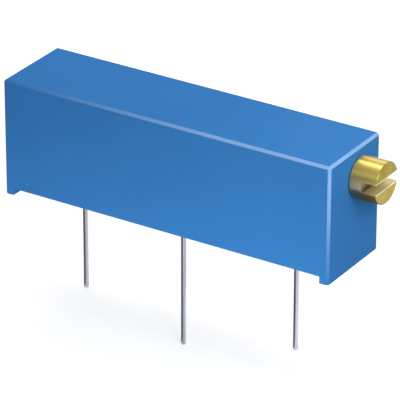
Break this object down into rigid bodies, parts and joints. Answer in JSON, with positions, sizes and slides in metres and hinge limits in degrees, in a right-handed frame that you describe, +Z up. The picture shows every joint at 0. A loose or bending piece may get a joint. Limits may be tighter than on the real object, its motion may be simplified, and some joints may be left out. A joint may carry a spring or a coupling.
{
  "type": "multi-turn trimmer potentiometer",
  "caption": "Rectangular multi-turn trimmer potentiometer with an end-mounted slotted lead screw, an inner carriage and wiper, and wire terminals in a triangle for a printed board.",
  "frame": {"origin": "axis of terminal 1 (back row, far from the screw head) in the plane of the board that the feet stand on", "axes": "+X along the housing towards the screw head, +Y from the front to the back, +Z up from the board"},
  "size_m": [0.0206, 0.0048, 0.0126],
  "materials": {
    "blue_plastic": "smooth moulded, satin",
    "potting_resin": "cast, glossy",
    "screw_brass": "turned",
    "seal_rubber": "smooth silicone",
    "clip_steel": "stamped",
    "carriage_plastic": "moulded",
    "spring_alloy": "stamped, bright",
    "contact_alloy": "drawn wire",
    "alumina": "fired ceramic",
    "cermet": "fired film",
    "conductor_film": "fired film",
    "tinned_wire": "tinned",
    "solder": "bright"
  },
  "bodies": {
    "case": {"housing": "blue_plastic", "base_seal": "potting_resin", "retaining_clip": "clip_steel", "substrate": "alumina", "resistive_element": "cermet", "collector_track": "conductor_film", "end_pad_1": "conductor_film", "end_pad_3": "conductor_film", "pin_1": "tinned_wire", "pin_2": "tinned_wire", "pin_3": "tinned_wire", "solder_1": "solder", "solder_2": "solder", "solder_3": "solder"},
    "screw": {"adjustment_screw": "screw_brass", "seal_ring": "seal_rubber"},
    "slider": {"carriage": "carriage_plastic", "wiper_spring": "spring_alloy", "element_brush": "contact_alloy", "collector_brush": "contact_alloy"}
  },
  "joints": [
    {"name": "screw_turn", "type": "hinge", "parent": "case", "child": "screw", "pos_m": [0, -0.00085, 0.00478], "axis": [-1, 0, 0], "range_deg": [-2700, 2700]},
    {"name": "carriage_slide", "type": "slide", "parent": "case", "child": "slider", "axis": [1, 0, 0], "range_m": [-0.00476, 0.00476]}
  ],
  "couplings": [
    {"joint": "screw_turn", "follows": "carriage_slide", "rad_per_m": 9894.8}
  ]
}
